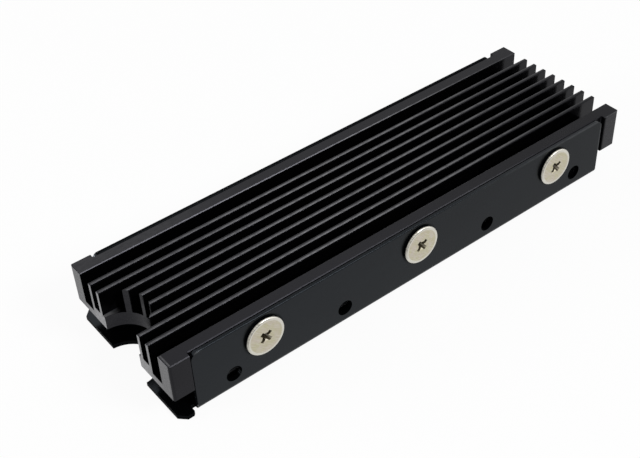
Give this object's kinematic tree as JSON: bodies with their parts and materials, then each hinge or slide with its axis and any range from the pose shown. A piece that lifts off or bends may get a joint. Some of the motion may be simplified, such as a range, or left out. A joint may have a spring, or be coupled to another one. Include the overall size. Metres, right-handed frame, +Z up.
{
  "type": "heat sink",
  "caption": "Two-sided heat sink for a plug-in memory card: a black finned radiator with a half-round end notch, screwed between the walls of a bent sheet tray.",
  "frame": {"origin": "centre of the tray's underside, midway along the length and the width", "axes": "+X along the length, away from the notched end; +Y across, away from the side that the picture shows; +Z up through the fins"},
  "size_m": [0.08, 0.0252, 0.01],
  "materials": {
    "radiator_anodise": "satin black anodised, fine bead-blasted grain",
    "tray_anodise": "matte black anodised sheet",
    "screw_nickel": "warm nickel plate",
    "thermal_pad": "soft matte silicone"
  },
  "bodies": {
    "root": {"radiator": "radiator_anodise", "tray": "tray_anodise", "side_screws": "screw_nickel", "upper_thermal_pad": "thermal_pad", "lower_thermal_pad": "thermal_pad"}
  },
  "joints": []
}
